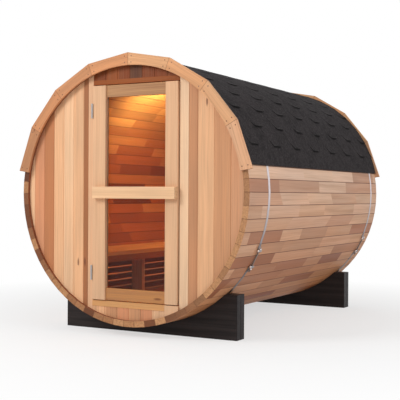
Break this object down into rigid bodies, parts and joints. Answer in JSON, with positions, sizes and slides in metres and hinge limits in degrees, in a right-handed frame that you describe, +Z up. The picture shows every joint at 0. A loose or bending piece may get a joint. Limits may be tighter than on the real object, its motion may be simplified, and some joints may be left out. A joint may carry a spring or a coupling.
{
  "type": "barrel sauna",
  "caption": "Lying barrel of coopered staves on two cradles, with boarded ends, a hinged glass door, a shingled upper half, steel hoops and a bench inside.",
  "frame": {"origin": "on the ground, under the middle of the whole sauna", "axes": "+Z up, +Y along the barrel from the door end to the rear end, +X to the right as seen facing the door"},
  "size_m": [1.8468, 2.55, 1.906],
  "materials": {
    "stave_wood": "planed cedar staves, bare",
    "trim_wood": "planed cedar boards, bare",
    "wall_boards": "planed tongued boards, bare",
    "door_frame_wood": "planed cedar, bare",
    "door_wood": "planed cedar, bare",
    "bench_wood": "planed cedar slats, bare",
    "cradle_wood": "dark stain, nearly black",
    "shingle": "black mineral-faced bitumen shingles",
    "hoop_steel": "rolled steel band, satin",
    "hinge_steel": "satin steel",
    "glass": "clear toughened glass"
  },
  "bodies": {
    "barrel": {"staves_crown": "stave_wood", "staves_upper_left": "stave_wood", "staves_shoulder_left": "stave_wood", "staves_side_left": "stave_wood", "staves_haunch_left": "stave_wood", "staves_floor_left": "stave_wood", "staves_floor_right": "stave_wood", "staves_haunch_right": "stave_wood", "staves_side_right": "stave_wood", "staves_shoulder_right": "stave_wood", "staves_upper_right": "stave_wood", "front_trim_right": "trim_wood", "front_trim_left": "trim_wood", "rear_trim_right": "trim_wood", "rear_trim_left": "trim_wood", "front_wall_left": "wall_boards", "front_wall_right": "wall_boards", "front_wall_over_door": "wall_boards", "front_wall_under_door": "wall_boards", "back_wall": "wall_boards", "hinge_jamb": "door_frame_wood", "latch_jamb": "door_frame_wood", "door_head": "door_frame_wood", "door_sill": "door_frame_wood", "latch_foot": "door_frame_wood", "bench_seat": "bench_wood", "bench_rail": "bench_wood", "bench_supports": "bench_wood", "bench_skirt": "bench_wood", "front_cradle": "cradle_wood", "rear_cradle": "cradle_wood", "roof_shingles_right": "shingle", "roof_shingles_left": "shingle", "front_hoop": "hoop_steel", "rear_hoop": "hoop_steel", "hinge_frame_leaves": "hinge_steel"},
    "door": {"hinge_stile": "door_wood", "latch_stile": "door_wood", "door_top_rail": "door_wood", "door_bottom_rail": "door_wood", "pull_bar": "door_wood", "door_glass": "glass", "hinge_door_leaves": "hinge_steel"}
  },
  "joints": [
    {"name": "door_swing", "type": "hinge", "parent": "barrel", "child": "door", "pos_m": [-0.3017, -1.243, 0.97], "axis": [0, 0, -1], "range_deg": [0, 100]}
  ]
}
